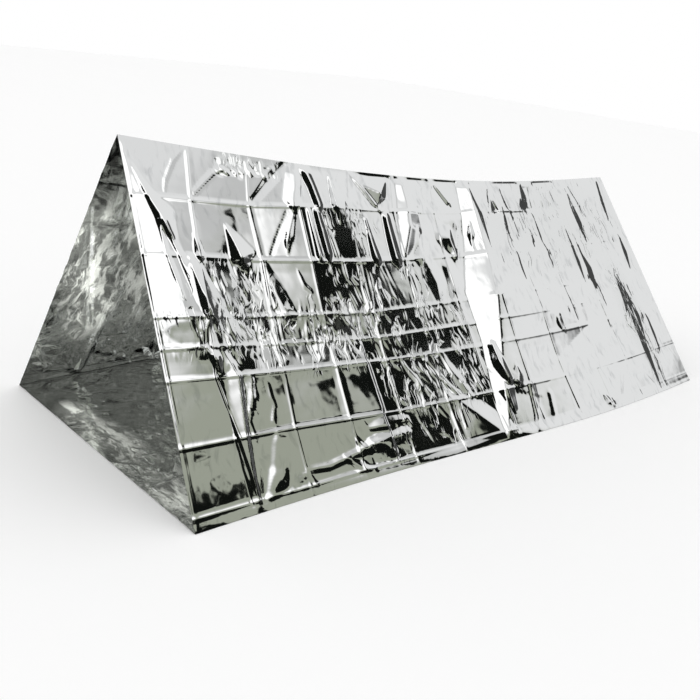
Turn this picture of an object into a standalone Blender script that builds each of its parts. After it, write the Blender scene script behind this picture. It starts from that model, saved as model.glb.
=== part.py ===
"""Emergency tube tent, in metres with +Z up.

One endless tube of metallised film, open at both ends. Pulled up along its top into a ridge, it
stands as two sloping walls on a floor of the same film. The ridge runs along X.
"""

import math

import bmesh
import bpy
from mathutils import Vector

# The film as sold: a flat tube, folded along rows and columns to fit its pack
FILM_LENGTH = 2.44
PACK_COLUMNS = 12
PACK_ROWS = (0.0, 1.0, 2.0, 3.0, 3.5, 4.0, 5.0, 6.0, 6.2)
ROWS_DOWN = PACK_ROWS[-1]
COLUMN = FILM_LENGTH / PACK_COLUMNS
ROW = 0.16
FILM_WALL = 0.002

# Its corners as pitched by hand, so not quite square
FRONT_RIDGE = Vector((-1.153, 0.016, 0.857))
FRONT_RIGHT = Vector((-1.220, -0.541, 0.0))
FRONT_LEFT = Vector((-1.179, 0.501, 0.0))
FAR_RIDGE = Vector((1.2275, 0.073, 0.723))
FAR_RIGHT = Vector((1.217, -0.542, 0.0))
FAR_LEFT = Vector((1.215, 0.640, 0.0))

# How the film hangs between them
RIDGE_SAG = 0.051
RIDGE_LEAN = -0.046
EDGE_BOW = -0.021
EDGE_SWAY = 0.018
WALL_BELLY = 0.020

# Packing creases and the panels between them
CREASE_HEIGHT = 0.003
PANEL_CROWN = 0.005
EDGE_FADE = 0.05

# How finely the solid is cut
CUTS_PER_COLUMN = 5
CUTS_PER_ROW = 3
FLOOR_CUTS = 4

# Main folds of the right wall, a row each: start and end in columns along and rows down, then
# half width and height in metres, where a trough's height is below zero
RIGHT_FOLDS = (
    # along, down, to_along, to_down, half_width, height
    (0.00, 0.10, 0.56, 1.90, 0.045, 0.012),
    (0.56, 1.90, 0.78, 4.00, 0.045, 0.012),
    (0.78, 4.00, 1.07, 6.10, 0.050, 0.014),
    (1.07, 6.10, 1.70, 5.20, 0.045, 0.009),
    (1.07, 6.10, 1.85, 5.75, 0.040, -0.007),
    (1.07, 6.10, 0.55, 5.30, 0.045, -0.006),
    (6.80, 0.10, 6.30, 3.10, 0.110, 0.018),
    (6.30, 3.10, 5.90, 6.10, 0.090, 0.016),
    (7.40, 0.30, 6.90, 4.50, 0.060, -0.008),
    (5.95, 6.10, 5.00, 5.15, 0.060, -0.010),
    (5.95, 6.10, 5.40, 4.80, 0.045, 0.007),
    (5.95, 6.10, 6.75, 5.10, 0.050, 0.008),
    (11.80, 0.40, 11.10, 3.40, 0.060, -0.012),
    (11.10, 3.40, 10.75, 6.05, 0.060, -0.012),
    (11.55, 1.20, 11.25, 5.60, 0.050, 0.007),
    (3.05, 0.05, 3.35, 1.90, 0.045, -0.009),
    (3.55, 0.05, 3.80, 2.60, 0.050, 0.008),
    (4.45, 0.10, 4.30, 2.80, 0.045, -0.008),
    (2.20, 0.10, 2.05, 2.40, 0.045, -0.007),
    (8.70, 0.05, 8.50, 1.60, 0.045, -0.009),
    (10.30, 0.20, 9.70, 2.90, 0.055, -0.007),
    (4.20, 3.00, 3.70, 5.00, 0.060, -0.008),
    (2.60, 2.90, 2.30, 5.60, 0.060, 0.008),
    (9.60, 5.30, 9.20, 6.10, 0.050, 0.006),
)

# Main folds of the left wall, in the same columns
LEFT_FOLDS = (
    # along, down, to_along, to_down, half_width, height
    (0.05, 1.60, 0.80, 4.60, 0.060, 0.012),
    (0.35, 0.60, 0.75, 3.00, 0.045, -0.008),
    (1.05, 2.60, 1.00, 6.00, 0.045, -0.010),
    (5.60, 0.10, 6.10, 3.20, 0.100, 0.015),
    (6.10, 3.20, 6.40, 6.00, 0.085, 0.014),
    (3.10, 0.10, 3.40, 2.30, 0.050, -0.009),
    (8.60, 0.10, 8.20, 2.70, 0.055, -0.009),
    (11.60, 0.40, 11.00, 5.80, 0.060, -0.011),
    (2.30, 3.20, 2.70, 5.90, 0.060, 0.008),
    (9.30, 2.80, 9.80, 5.90, 0.060, 0.008),
)


def curved(start, end, share, bows):
    """A point on the line from start to end, moved aside by each (x, y, z) that rises to its middle."""
    return start.lerp(end, share) + bows * math.sin(math.pi * share)


def ridge_point(share):
    return curved(FRONT_RIDGE, FAR_RIDGE, share, Vector((0.0, RIDGE_LEAN, -RIDGE_SAG)))


def right_edge_point(share):
    sway = Vector((0.0, EDGE_SWAY * math.sin(math.tau * share), 0.0))
    return curved(FRONT_RIGHT, FAR_RIGHT, share, Vector((0.0, EDGE_BOW, 0.0))) + sway


def left_edge_point(share):
    return FRONT_LEFT.lerp(FAR_LEFT, share)


def fold_rise(folds, along, down):
    """How far the folds lift the film off its plain wall here; along and down are in metres."""
    rise = 0.0
    for start_along, start_down, end_along, end_down, half_width, height in folds:
        start = Vector((start_along * COLUMN, start_down * ROW))
        line = Vector((end_along * COLUMN, end_down * ROW)) - start
        reach = Vector((along, down)) - start
        share = min(max(reach.dot(line) / line.length_squared, 0.0), 1.0)
        aside = (reach - line * share).length / half_width
        if aside < 1.0:
            fade = min(1.0, 3.0 * min(share, 1.0 - share) + 0.4)
            rise += height * fade * (1.0 - aside**2) ** 2
    return rise


def panel_rise(column, row_place):
    """Creases stand a little proud of the panels between them, and each panel is crowned or dished."""
    row = max(i for i, line in enumerate(PACK_ROWS[:-1]) if row_place >= line - 1e-6)
    row_share = (row_place - PACK_ROWS[row]) / (PACK_ROWS[row + 1] - PACK_ROWS[row])
    column_share = column - math.floor(column + 1e-6)
    inside = math.sin(math.pi * row_share) * math.sin(math.pi * max(column_share, 0.0))
    crown = PANEL_CROWN * math.sin(2.1 * math.floor(column + 1e-6) + 3.7 * row)
    return CREASE_HEIGHT * (1.0 - inside) + crown * inside


def wall_point(folds, foot_point, share, row_place):
    """A point of a wall: share runs front to far, and row_place counts pack rows down from the ridge."""
    down_share = row_place / ROWS_DOWN
    top, foot = ridge_point(share), foot_point(share)
    slope = foot - top
    outward = Vector((0.0, slope.z, -slope.y)).normalized()
    if outward.z < 0.0:
        outward.negate()
    down = down_share * slope.length
    rise = fold_rise(folds, share * FILM_LENGTH, row_place * ROW) + panel_rise(
        share * PACK_COLUMNS, row_place
    )
    rise *= min(1.0, down / EDGE_FADE, (slope.length - down) / EDGE_FADE)
    belly = WALL_BELLY * 4.0 * down_share * (1.0 - down_share) * math.sin(math.pi * share)
    return top + slope * down_share + outward * (rise - belly)


def floor_point(share, across):
    return left_edge_point(share).lerp(right_edge_point(share), across)


def rows_down():
    """Places down a wall: each pack row in equal cuts, with one cut in a row that is narrow."""
    places = [0.0]
    for start, end in zip(PACK_ROWS, PACK_ROWS[1:]):
        cuts = CUTS_PER_ROW if end - start > 0.9 else 1
        places += [start + (end - start) * (cut + 1) / cuts for cut in range(cuts)]
    return places


def round_the_tube():
    """A function for each station round the tube: up the right wall, down the left, back under."""
    down = rows_down()
    stations = [
        lambda share, place=place: wall_point(RIGHT_FOLDS, right_edge_point, share, place)
        for place in reversed(down)
    ]
    stations += [
        lambda share, place=place: wall_point(LEFT_FOLDS, left_edge_point, share, place)
        for place in down[1:]
    ]
    stations += [
        lambda share, across=(cut + 1) / FLOOR_CUTS: floor_point(share, across)
        for cut in range(FLOOR_CUTS)
    ]
    return stations


def clear_scene():
    for obj in list(bpy.data.objects):
        bpy.data.objects.remove(obj, do_unlink=True)


def silver_film():
    """Bright metallised film, a little hazy from its creases."""
    material = bpy.data.materials.new("silver_film")
    material.use_nodes = True
    shader = material.node_tree.nodes["Principled BSDF"]
    shader.inputs["Base Color"].default_value = (0.86, 0.87, 0.87, 1.0)
    shader.inputs["Metallic"].default_value = 1.0
    shader.inputs["Roughness"].default_value = 0.12
    return material


def film_tube(collection):
    """A flat grid of film, bent round into the tube, joined along its seam and given its wall."""
    stations = round_the_tube()
    cuts_along = PACK_COLUMNS * CUTS_PER_COLUMN
    cuts_round = len(stations) - 1
    sheet = bmesh.new()
    bmesh.ops.create_grid(sheet, x_segments=cuts_along, y_segments=cuts_round, size=0.5)
    for vertex in sheet.verts:
        share = round((vertex.co.x + 0.5) * cuts_along) / cuts_along
        vertex.co = stations[round((vertex.co.y + 0.5) * cuts_round)](share)
    bmesh.ops.remove_doubles(sheet, verts=sheet.verts, dist=1e-4)

    # The origin goes to the middle of the tube's box, at the floor's underside
    for axis in range(2):
        places = [vertex.co[axis] for vertex in sheet.verts]
        shift = Vector((0.0, 0.0, 0.0))
        shift[axis] = -(min(places) + max(places)) / 2
        bmesh.ops.translate(sheet, verts=sheet.verts, vec=shift)
    mesh = bpy.data.meshes.new("film_tube")
    sheet.to_mesh(mesh)
    sheet.free()

    tube = bpy.data.objects.new("film_tube", mesh)
    collection.objects.link(tube)
    tube.data.materials.append(silver_film())
    wall = tube.modifiers.new("film wall", "SOLIDIFY")
    wall.thickness = FILM_WALL
    wall.offset = -1.0
    wall.use_even_offset = True
    return tube


def main():
    clear_scene()
    collection = bpy.data.collections.new("emergency_tent")
    bpy.context.scene.collection.children.link(collection)
    film_tube(collection)


main()
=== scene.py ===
# %% [markdown]
# # An emergency tent of silver film
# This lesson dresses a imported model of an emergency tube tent. The real thing is one endless
# tube of polyester film with a mirror of aluminium on it, thin as kitchen foil. It is folded
# flat into a pack, so it opens with a grid of creases, and it crackles into fine folds wherever
# it is pulled. We keep the tent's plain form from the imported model, and spend the lesson on
# what light sees: creases, pulled folds, crinkle and the mirror itself.

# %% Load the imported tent
import math

import bmesh
import bpy
import numpy as np
from mathutils import Matrix, Vector


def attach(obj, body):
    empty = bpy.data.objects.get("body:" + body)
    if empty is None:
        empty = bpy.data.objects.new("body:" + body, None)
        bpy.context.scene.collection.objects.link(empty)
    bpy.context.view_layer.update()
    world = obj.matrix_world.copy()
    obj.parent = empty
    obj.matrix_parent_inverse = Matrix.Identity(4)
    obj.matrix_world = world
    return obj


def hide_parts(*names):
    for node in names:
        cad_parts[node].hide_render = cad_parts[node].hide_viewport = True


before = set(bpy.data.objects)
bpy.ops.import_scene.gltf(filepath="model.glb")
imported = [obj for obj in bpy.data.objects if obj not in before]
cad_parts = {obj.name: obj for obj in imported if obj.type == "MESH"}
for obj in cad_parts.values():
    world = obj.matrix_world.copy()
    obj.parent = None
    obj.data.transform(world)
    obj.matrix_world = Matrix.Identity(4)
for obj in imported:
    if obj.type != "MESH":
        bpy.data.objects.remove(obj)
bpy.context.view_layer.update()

# %% [markdown]
# ## The camera
# A long low shape seen from its open corner needs the same lens as the photograph, or the far
# end looks too large or too small. A fit of the tent's corners gives a 48 mm lens at about
# chest height, turned a few degrees about its own axis. We build the camera's axes one by one,
# because a turn about the line of sight is easier to write that way than as three angles.

# %% Camera
CAMERA_PLACE = Vector((-2.411, -2.186, 1.163))
CAMERA_HEADING = math.radians(44.76)
CAMERA_DIP = math.radians(18.27)
CAMERA_ROLL = math.radians(7.42)
CAMERA_LENS = 48.4


def make_camera():
    ahead = Vector((
        math.cos(CAMERA_DIP) * math.cos(CAMERA_HEADING),
        math.cos(CAMERA_DIP) * math.sin(CAMERA_HEADING),
        -math.sin(CAMERA_DIP),
    ))
    level = Vector((math.sin(CAMERA_HEADING), -math.cos(CAMERA_HEADING), 0.0))
    over = level.cross(ahead)
    right = level * math.cos(CAMERA_ROLL) + over * math.sin(CAMERA_ROLL)
    up = over * math.cos(CAMERA_ROLL) - level * math.sin(CAMERA_ROLL)
    lens = bpy.data.cameras.new("camera")
    lens.lens = CAMERA_LENS
    camera = bpy.data.objects.new("camera", lens)
    turn = Matrix((right, up, -ahead)).transposed()
    camera.matrix_world = Matrix.Translation(CAMERA_PLACE) @ turn.to_4x4()
    bpy.context.scene.collection.objects.link(camera)
    bpy.context.scene.camera = camera


make_camera()
print("camera lens:", CAMERA_LENS, "mm")

# %% [markdown]
# ## The studio
# A mirror has no look of its own: it shows the room. A plain white room would leave the film
# blank, so photographers stand dark cards, called flags, round a shiny thing. Here the world is
# a soft white dome to the camera and to the floor, and only reflections see the flags and a
# greyer ground. The flags are worked out from the direction of the ray, with ragged edges so
# that their mirror images break up as they do out of doors. Some of them are thin enough to let
# a little sky through. Beside the tallest flag the sky has a brighter patch, the glare, and it
# gives the film its broad white bands.

# %% Floor
FLOOR_SIZE = 40.0
FLOOR_DROP = 0.001
FLOOR_ROUGH = 0.9
FLOOR_PALE = (1.0, 1.0, 1.0, 1.0)
FLOOR_SEEN_IN_FILM = (0.36, 0.38, 0.33, 1.0)


def mix_colours(tree, factor, first, second):
    """A mix node: first where factor is 0, second where it is 1. Either may be a colour or a socket."""
    mix = tree.nodes.new("ShaderNodeMix")
    mix.data_type = "RGBA"
    for socket, value in ((mix.inputs[0], factor), (mix.inputs[6], first), (mix.inputs[7], second)):
        if isinstance(value, bpy.types.NodeSocket):
            tree.links.new(value, socket)
        else:
            socket.default_value = value
    return mix.outputs[2]


def make_floor():
    shape = bmesh.new()
    bmesh.ops.create_grid(shape, x_segments=1, y_segments=1, size=FLOOR_SIZE / 2)
    bmesh.ops.translate(shape, verts=shape.verts, vec=(0.0, 0.0, -FLOOR_DROP))
    mesh = bpy.data.meshes.new("studio_floor")
    shape.to_mesh(mesh)
    shape.free()
    material = bpy.data.materials.new("studio_floor")
    material.use_nodes = True
    tree = material.node_tree
    shader = tree.nodes["Principled BSDF"]
    shader.inputs["Roughness"].default_value = FLOOR_ROUGH
    path = tree.nodes.new("ShaderNodeLightPath")
    seen = mix_colours(tree, path.outputs["Is Glossy Ray"], FLOOR_PALE, FLOOR_SEEN_IN_FILM)
    tree.links.new(seen, shader.inputs["Base Color"])
    mesh.materials.append(material)
    floor = bpy.data.objects.new("studio_floor", mesh)
    bpy.context.scene.collection.objects.link(floor)


make_floor()
print("studio floor:", FLOOR_SIZE, "m across")

# %% Flags and sky
# Each flag: middle and half width of its bearing, its top edge, then how ragged and how soft its
# edges are, all in degrees, and last how much of the sky it holds back
FLAGS = (
    # bearing, half_width, top, ragged, soft, depth
    (-84.0, 25.0, 56.0, 6.0, 0.5, 1.0),
    (-52.0, 7.5, 26.0, 7.0, 0.3, 1.0),
    (-43.0, 5.0, 24.0, 4.0, 0.5, 1.0),
    (-34.2, 4.3, 33.0, 2.0, 0.3, 1.0),
    (-25.0, 5.0, 20.0, 1.5, 1.5, 0.94),
    (-15.0, 5.0, 16.5, 1.0, 1.5, 0.94),
    (3.0, 17.0, 21.5, 3.0, 1.0, 0.93),
)
BEHIND = 180.0
# The front half of the studio lies around this bearing, and gives way to the back half between
# these two angles from it
FRONT_BEARING = -60.0
FRONT_REACH = (89.0, 91.0)
# The noise that makes the flags' edges ragged: its scale, detail and roughness
RAGGED = (16.0, 7.0, 0.72)
# The heights at which the sky turns from low to middle, and from middle to high
SKY_MIDDLE_FROM = (29.0, 35.0)
SKY_HIGH_FROM = (37.0, 42.0)
# Two brighter parts, the sunny side and the glare: the bearing of each, then how far from it the
# part has gone and where it is full. The glare sets in between two heights as well
SUNNY_BEARING = 15.0
SUNNY_REACH = (50.0, 40.0)
GLARE_BEARING = -52.0
GLARE_REACH = (14.0, 10.0)
GLARE_FROM = (31.0, 36.0)
SKY_LOW = (0.34, 0.36, 0.30, 1.0)
SKY_MIDDLE = (0.55, 0.555, 0.555, 1.0)
SKY_HIGH = (0.75, 0.755, 0.76, 1.0)
SKY_SUNNY = (0.80, 0.805, 0.81, 1.0)
SKY_GLARE = (1.20, 1.20, 1.20, 1.0)
FLAG_DARK = (0.005, 0.006, 0.005, 1.0)
DOME_WHITE = (1.0, 1.0, 1.0, 1.0)
print("flags on each side of the tent:", len(FLAGS))


# %% Shader helpers
def math_node(tree, operation, *values, clamp=False):
    node = tree.nodes.new("ShaderNodeMath")
    node.operation = operation
    node.use_clamp = clamp
    for socket, value in zip(node.inputs, values):
        if isinstance(value, bpy.types.NodeSocket):
            tree.links.new(value, socket)
        else:
            socket.default_value = value
    return node.outputs[0]


def ramp_between(tree, value, low, high):
    """0 at low and 1 at high, with an even rise between; low may be above high."""
    node = tree.nodes.new("ShaderNodeMapRange")
    node.interpolation_type = "SMOOTHSTEP"
    tree.links.new(value, node.inputs["Value"])
    node.inputs["From Min"].default_value = min(low, high)
    node.inputs["From Max"].default_value = max(low, high)
    node.inputs["To Min"].default_value = 0.0 if low < high else 1.0
    node.inputs["To Max"].default_value = 1.0 if low < high else 0.0
    return node.outputs["Result"]


def clouds(tree, place, scale, detail, roughness=0.5, space="2D"):
    """A noise texture, flat as on a sheet or in space as in the sky."""
    node = tree.nodes.new("ShaderNodeTexNoise")
    node.noise_dimensions = space
    node.inputs["Scale"].default_value = scale
    node.inputs["Detail"].default_value = detail
    node.inputs["Roughness"].default_value = roughness
    tree.links.new(place, node.inputs["Vector"])
    return node


# %% Dome
def turned_by(tree, bearing, middle):
    """How far the bearing is from the middle, from 0 to 180 degrees."""
    aside = math_node(tree, "SUBTRACT", bearing, middle)
    return math_node(tree, "ABSOLUTE", math_node(tree, "WRAP", aside, 180.0, -180.0))


def studio_side(tree, bearing, height, jag, turn):
    """Sky and flags on one side of the tent; turn is 0 in front and 180 behind."""
    sky = mix_colours(tree, ramp_between(tree, height, *SKY_MIDDLE_FROM), SKY_LOW, SKY_MIDDLE)
    sky = mix_colours(tree, ramp_between(tree, height, *SKY_HIGH_FROM), sky, SKY_HIGH)
    sunny = ramp_between(tree, turned_by(tree, bearing, SUNNY_BEARING + turn), *SUNNY_REACH)
    sky = mix_colours(tree, sunny, sky, SKY_SUNNY)
    glare = ramp_between(tree, turned_by(tree, bearing, GLARE_BEARING + turn), *GLARE_REACH)
    glare = math_node(tree, "MULTIPLY", glare, ramp_between(tree, height, *GLARE_FROM))
    sky = mix_colours(tree, glare, sky, SKY_GLARE)
    dark = None
    for middle, half_width, top, ragged, soft, depth in FLAGS:
        swing = math_node(tree, "MULTIPLY", jag, 2 * ragged)
        aside = math_node(tree, "ADD", turned_by(tree, bearing, middle + turn), swing)
        within = ramp_between(tree, aside, half_width + soft, half_width - soft)
        below = math_node(tree, "ADD", height, swing)
        below = ramp_between(tree, below, top + soft, top - soft)
        flag = math_node(tree, "MULTIPLY", math_node(tree, "MULTIPLY", within, below), depth)
        dark = flag if dark is None else math_node(tree, "MAXIMUM", dark, flag)
    return mix_colours(tree, dark, sky, FLAG_DARK)


def make_world():
    world = bpy.data.worlds.new("studio")
    bpy.context.scene.world = world
    world.use_nodes = True
    tree = world.node_tree
    place = tree.nodes.new("ShaderNodeTexCoord").outputs["Generated"]
    parts = tree.nodes.new("ShaderNodeSeparateXYZ")
    tree.links.new(place, parts.inputs[0])
    bearing = math_node(tree, "ARCTAN2", parts.outputs["Y"], parts.outputs["X"])
    bearing = math_node(tree, "DEGREES", bearing)
    height = math_node(tree, "DEGREES", math_node(tree, "ARCSINE", parts.outputs["Z"]))
    noise = clouds(tree, place, *RAGGED, space="3D")
    jag = math_node(tree, "SUBTRACT", noise.outputs[0], 0.5)
    front = studio_side(tree, bearing, height, jag, 0.0)
    back = studio_side(tree, bearing, height, jag, BEHIND)
    facing = ramp_between(tree, turned_by(tree, bearing, FRONT_BEARING), *FRONT_REACH)
    dome = mix_colours(tree, facing, front, back)
    path = tree.nodes.new("ShaderNodeLightPath")
    seen = mix_colours(tree, path.outputs["Is Glossy Ray"], DOME_WHITE, dome)
    tree.links.new(seen, tree.nodes["Background"].inputs["Color"])


make_world()
bpy.context.scene.view_settings.view_transform = "Standard"
print("world:", bpy.context.scene.world.name)

# %% [markdown]
# ## The tent's plain form
# The imported model was bent from these same sizes: five corners pulled out, a ridge that
# sags between its two held ends, and walls that hang in a little. A finer sheet needs the same
# form, so we write it once more, this time for whole arrays of points at a time. Numpy does in
# a blink what a loop over a hundred thousand points would do in minutes.

# %% Sizes of the film and its pitch
FILM_LENGTH = 2.44
PACK_COLUMNS = 12
PACK_ROWS = (0.0, 1.0, 2.0, 3.0, 3.5, 4.0, 5.0, 6.0, 6.2)
ROWS_DOWN = PACK_ROWS[-1]
COLUMN = FILM_LENGTH / PACK_COLUMNS
ROW = 0.16
WALL_DROP = ROWS_DOWN * ROW
GIRTH = 3.05

FRONT_RIDGE = np.array((-1.153, 0.016, 0.857))
FRONT_RIGHT = np.array((-1.220, -0.541, 0.0))
FRONT_LEFT = np.array((-1.179, 0.501, 0.0))
FAR_RIDGE = np.array((1.2275, 0.073, 0.723))
FAR_RIGHT = np.array((1.217, -0.542, 0.0))
FAR_LEFT = np.array((1.215, 0.640, 0.0))
RIDGE_SAG = 0.051
RIDGE_LEAN = -0.046
EDGE_BOW = -0.021
EDGE_SWAY = 0.018
WALL_BELLY = 0.020


def curved(start, end, share, aside):
    """Points from start to end, moved aside by a vector that rises to its middle."""
    share = share[..., None]
    return start + (end - start) * share + aside * np.sin(np.pi * share)


def ridge_points(share):
    return curved(FRONT_RIDGE, FAR_RIDGE, share, np.array((0.0, RIDGE_LEAN, -RIDGE_SAG)))


def right_edge_points(share):
    points = curved(FRONT_RIGHT, FAR_RIGHT, share, np.array((0.0, EDGE_BOW, 0.0)))
    points[..., 1] += EDGE_SWAY * np.sin(2 * np.pi * share)
    return points


def left_edge_points(share):
    return curved(FRONT_LEFT, FAR_LEFT, share, np.zeros(3))


# The form's outline is measured at this many points in each pack column
OUTLINE_STEPS = 5


def middle_of_tent():
    """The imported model's origin is the middle of its box, so the same shift brings this form to it."""
    share = np.linspace(0.0, 1.0, PACK_COLUMNS * OUTLINE_STEPS + 1)
    lines = (ridge_points(share), right_edge_points(share), left_edge_points(share))
    outline = np.concatenate(lines)[:, :2]
    return np.append((outline.min(0) + outline.max(0)) / 2, 0.0)


MIDDLE = middle_of_tent()
print("shift to the origin:", MIDDLE.round(4))

# %% [markdown]
# ## Relief: folds, creases and crinkle
# A wall of film is a plain surface plus a height at each point. Real crumpled film isn't wavy
# like water: it bends along short straight lines and stays nearly flat between them. So each
# fold here is a crest line with a flat slope falling to either side, like a tent seen from its
# end, or a trough, which is the same upside down. A few large ones are placed where the film
# is pulled, and many small ones fill the places where it is crushed. Blender's Displace
# modifier with a noise texture would be quicker to write, but its round bumps look like rubber
# and not like film.

# %% Where the pack creases run
# Packing never folds quite square, so each crease line drifts. Rows of drift in pack rows, at
# these columns, and columns of drift in pack columns, at these rows
DRIFT_COLUMNS = (0.0, 2.0, 4.0, 6.0, 9.0, 12.0)
ROW_DRIFT = (
    # row, drift at each of the columns
    (0.0, (0.0, 0.0, 0.0, 0.0, 0.0, 0.0)),
    (1.0, (-0.02, -0.04, -0.15, -0.17, -0.20, -0.21)),
    (2.0, (-0.06, -0.03, -0.01, -0.11, -0.12, -0.12)),
    (3.0, (-0.06, 0.00, 0.05, -0.06, -0.12, -0.12)),
    (3.5, (-0.06, 0.00, 0.08, 0.00, -0.06, -0.06)),
    (4.0, (-0.06, 0.00, 0.05, 0.04, 0.00, 0.00)),
    (5.0, (-0.04, 0.00, 0.10, 0.10, 0.10, 0.08)),
    (6.0, (0.00, 0.03, 0.03, 0.00, 0.00, 0.00)),
    (6.2, (0.0, 0.0, 0.0, 0.0, 0.0, 0.0)),
)
DRIFT_ROWS = (0.0, 1.0, 2.0, 4.0, 5.0, 6.2)
COLUMN_DRIFT = (
    # column, drift at each of the rows
    (0.0, (0.0, 0.0, 0.0, 0.0, 0.0, 0.0)),
    (1.0, (0.03, -0.07, -0.12, -0.25, -0.08, 0.07)),
    (2.0, (0.03, -0.10, -0.05, -0.10, -0.15, -0.12)),
    (3.0, (0.04, -0.18, -0.16, -0.15, -0.15, -0.12)),
    (6.0, (0.00, -0.10, -0.14, -0.12, -0.10, -0.05)),
    (12.0, (0.0, 0.0, 0.0, 0.0, 0.0, 0.0)),
)


def across_table(table, knots, places, others):
    """Reads a drift table at a grid of places (its first column) and others (its knots)."""
    lines = np.array([np.interp(others, knots, values) for _, values in table])
    firsts = [first for first, _ in table]
    return np.array([np.interp(places, firsts, line) for line in lines.T])


# Grid lines stand this far from each crease, unless that is over this share of the way to the
# next crease
LINES_BESIDE_COLUMN = (0.0035, 0.008)
LINES_BESIDE_ROW = (0.0035, 0.010)
BESIDE_SHARE = 0.3


def spaced(marks, size, gap, beside):
    """Grid lines in pack units: evenly spaced, and closer beside each crease. Sizes in metres."""
    places = [0.0]
    for start, end in zip(marks, marks[1:]):
        width = (end - start) * size
        close = [step for step in beside if step < BESIDE_SHARE * width]
        inner = np.linspace(close[-1], width - close[-1], max(2, round(width / gap)))
        steps = np.concatenate((close[:-1], inner, [width - step for step in close[-2::-1]], [width]))
        places += list(start + steps / size)
    return np.array(places)


print("pack creases:", PACK_COLUMNS - 1, "across the tent and", len(PACK_ROWS) - 2, "along it")

# %% Height maps
FOLD_SOFT = 0.05
# How high the pack's creases stand, and their section: places across one and the height there
ROW_CREASE = 0.0014
COLUMN_CREASE = 0.0012
ROW_ROOF = ((-0.0085, 0.0, 0.0035, 0.035), (0.0, 1.0, 0.5, 0.0))
COLUMN_ROOF = ((-0.0080, 0.0, 0.0035, 0.018), (0.0, 1.0, 0.4, 0.0))
# Along a crease its strength wanders between these two
ROW_STRENGTH = (0.7, 1.2)
COLUMN_STRENGTH = (0.3, 1.2)


class Relief:
    """Heights over a sheet, on grid lines that follow its pack creases."""

    def __init__(self, columns, rows, gap_along, gap_down, drifting=True):
        self.u = spaced(columns, COLUMN, gap_along, LINES_BESIDE_COLUMN)
        self.v = spaced(rows, ROW, gap_down, LINES_BESIDE_ROW)
        self.rows = rows
        u, v = np.meshgrid(self.u, self.v)
        if drifting:
            u = u + across_table(COLUMN_DRIFT, DRIFT_ROWS, self.u, self.v)
            v = v + across_table(ROW_DRIFT, DRIFT_COLUMNS, self.v, self.u).T
        self.along, self.down = u * COLUMN, v * ROW
        self.height = np.zeros_like(u)

    def window(self, low, high):
        """The block of the map that holds a box in metres, with room for drifting creases."""
        room = 0.3
        first, last = np.searchsorted(self.u, (low[0] / COLUMN - room, high[0] / COLUMN + room))
        top, foot = np.searchsorted(self.v, (low[1] / ROW - room, high[1] / ROW + room))
        return slice(top, foot), slice(first, last)

    def fold(self, path, near, far, rise):
        """A crest along a path of (column, row, width). Its slopes reach near and far metres to
        its left and right, as seen going down it. Where the width is under 1 the crest is narrower,
        and lower in step, so its slopes stay as steep."""
        places = np.array(path)
        widths = places[:, 2]
        places = places[:, :2] * (COLUMN, ROW)
        widest = max(near, far)
        block = self.window(places.min(0) - widest, places.max(0) + widest)
        along, down = self.along[block], self.down[block]
        nearest = np.full(along.shape, np.inf)
        wide, reach = np.ones_like(along), np.ones_like(along)
        for start, end, first, last in zip(places, places[1:], widths, widths[1:]):
            line = end - start
            length = math.hypot(*line)
            to_along, to_down = along - start[0], down - start[1]
            share = (to_along * line[0] + to_down * line[1]) / length**2
            side = (to_along * line[1] - to_down * line[0]) / length
            past = np.maximum(0.0, np.abs(share - 0.5) - 0.5) * length
            away = np.hypot(side, past)
            closer = away < nearest
            width = first + (last - first) * np.clip(share, 0.0, 1.0)
            nearest = np.where(closer, away, nearest)
            wide = np.where(closer, width, wide)
            reach = np.where(closer, np.where(side < 0.0, near, far) * width, reach)
        away = np.sqrt((nearest / reach) ** 2 + FOLD_SOFT**2) - FOLD_SOFT
        away /= math.sqrt(1.0 + FOLD_SOFT**2) - FOLD_SOFT
        self.height[block] += rise * wide * np.clip(1.0 - away, 0.0, None)

    def pack_creases(self, dice, faint):
        """Creases stand proud: a steep bright face above or in front, a short one behind, and a
        long gentle run back to the film. At the far end they are as strong as faint says."""
        for row in self.rows[1:-1]:
            away = (self.v[:, None] - row) * ROW
            roof = np.interp(away, *ROW_ROOF)
            strength = dice.uniform(*ROW_STRENGTH, PACK_COLUMNS + 1)
            strength *= np.linspace(1.0, faint, PACK_COLUMNS + 1)
            self.height += ROW_CREASE * np.interp(self.u, range(PACK_COLUMNS + 1), strength) * roof
        for column in range(1, PACK_COLUMNS):
            away = (self.u[None, :] - column) * COLUMN
            roof = np.interp(away, *COLUMN_ROOF)
            strength = dice.uniform(*COLUMN_STRENGTH, len(self.rows))
            strength *= 1.0 + (faint - 1.0) * column / PACK_COLUMNS
            self.height += COLUMN_CREASE * np.interp(self.v, self.rows, strength)[:, None] * roof

    def hang(self, table, knots):
        """Adds the way the film hangs from crease to crease, which is flat between creases."""
        self.height += 0.001 * across_table(table, knots, self.v, self.u).T


# %% Crinkle
CRINKLE_SEED = 11
# Each small fold has its length, its reach and its steepness between these shares of the zone's
LONG_SHARES = (0.5, 1.5)
THIN_SHARES = (0.5, 1.6)
STEEP_SHARES = (0.4, 1.5)
TIP_WIDTH = 0.2


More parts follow.
